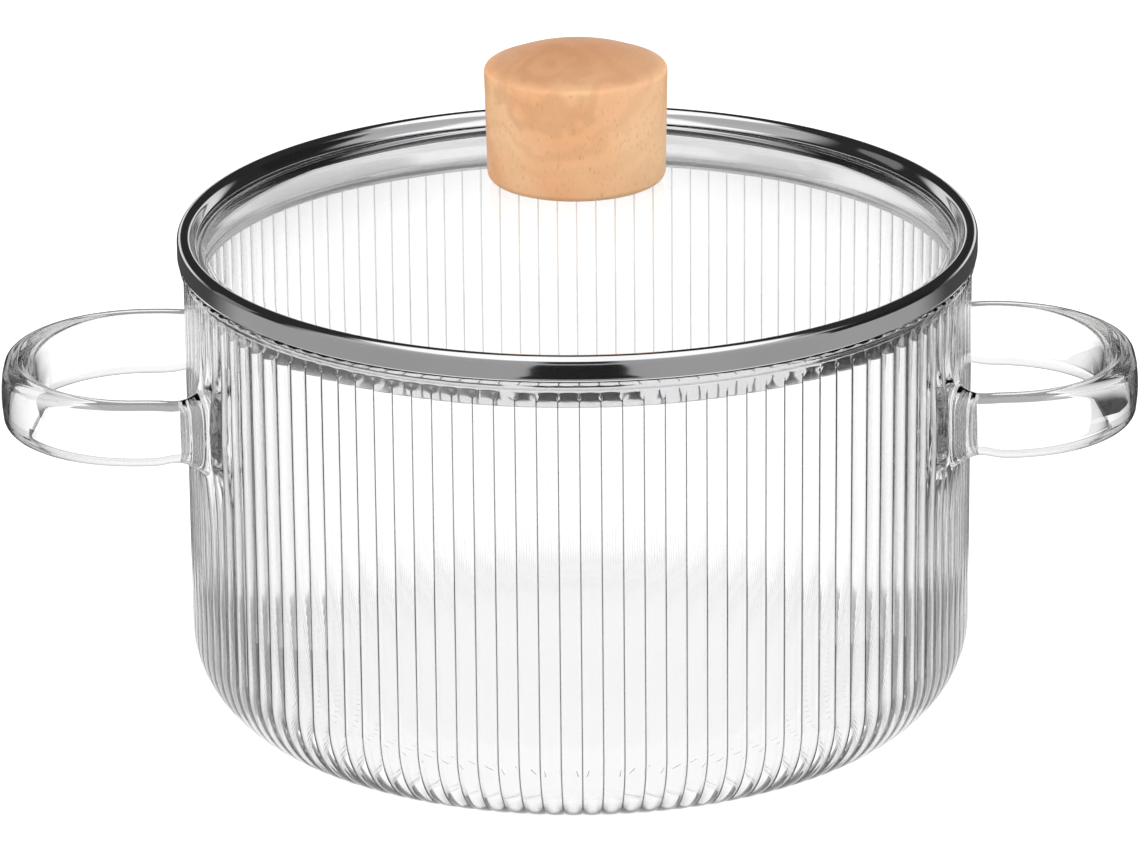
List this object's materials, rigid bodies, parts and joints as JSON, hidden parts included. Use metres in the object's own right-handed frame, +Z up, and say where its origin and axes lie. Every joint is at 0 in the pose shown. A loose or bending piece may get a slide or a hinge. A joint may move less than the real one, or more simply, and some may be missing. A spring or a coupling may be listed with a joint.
{
  "type": "glass cooking pot with lid",
  "caption": "Reeded clear glass cooking pot with two welded glass loop handles and a steel-rimmed domed glass lid with a turned wooden knob.",
  "frame": {"origin": "centre of the pot's flat base, on the surface it stands on", "axes": "+Z up along the pot's axis, +X and -X towards the two handles"},
  "size_m": [0.2564, 0.18, 0.1553],
  "materials": {
    "pot_glass": "polished",
    "lid_glass": "polished",
    "rim_steel": "polished",
    "knob_wood": "satin",
    "insert_brass": "machined",
    "screw_steel": "satin",
    "seal_silicone": "satin"
  },
  "bodies": {
    "pot": {"pot_body": "pot_glass", "handle_left": "pot_glass", "handle_right": "pot_glass"},
    "lid": {"lid_glass": "lid_glass", "lid_rim": "rim_steel", "lid_knob": "knob_wood", "knob_insert": "insert_brass", "knob_screw": "screw_steel", "upper_seal_washer": "seal_silicone", "lower_seal_washer": "seal_silicone", "steel_washer": "screw_steel"}
  },
  "joints": [
    {"name": "lid_lift", "type": "slide", "parent": "pot", "child": "lid", "axis": [0, 0, 1], "range_m": [0, 0.15]}
  ]
}
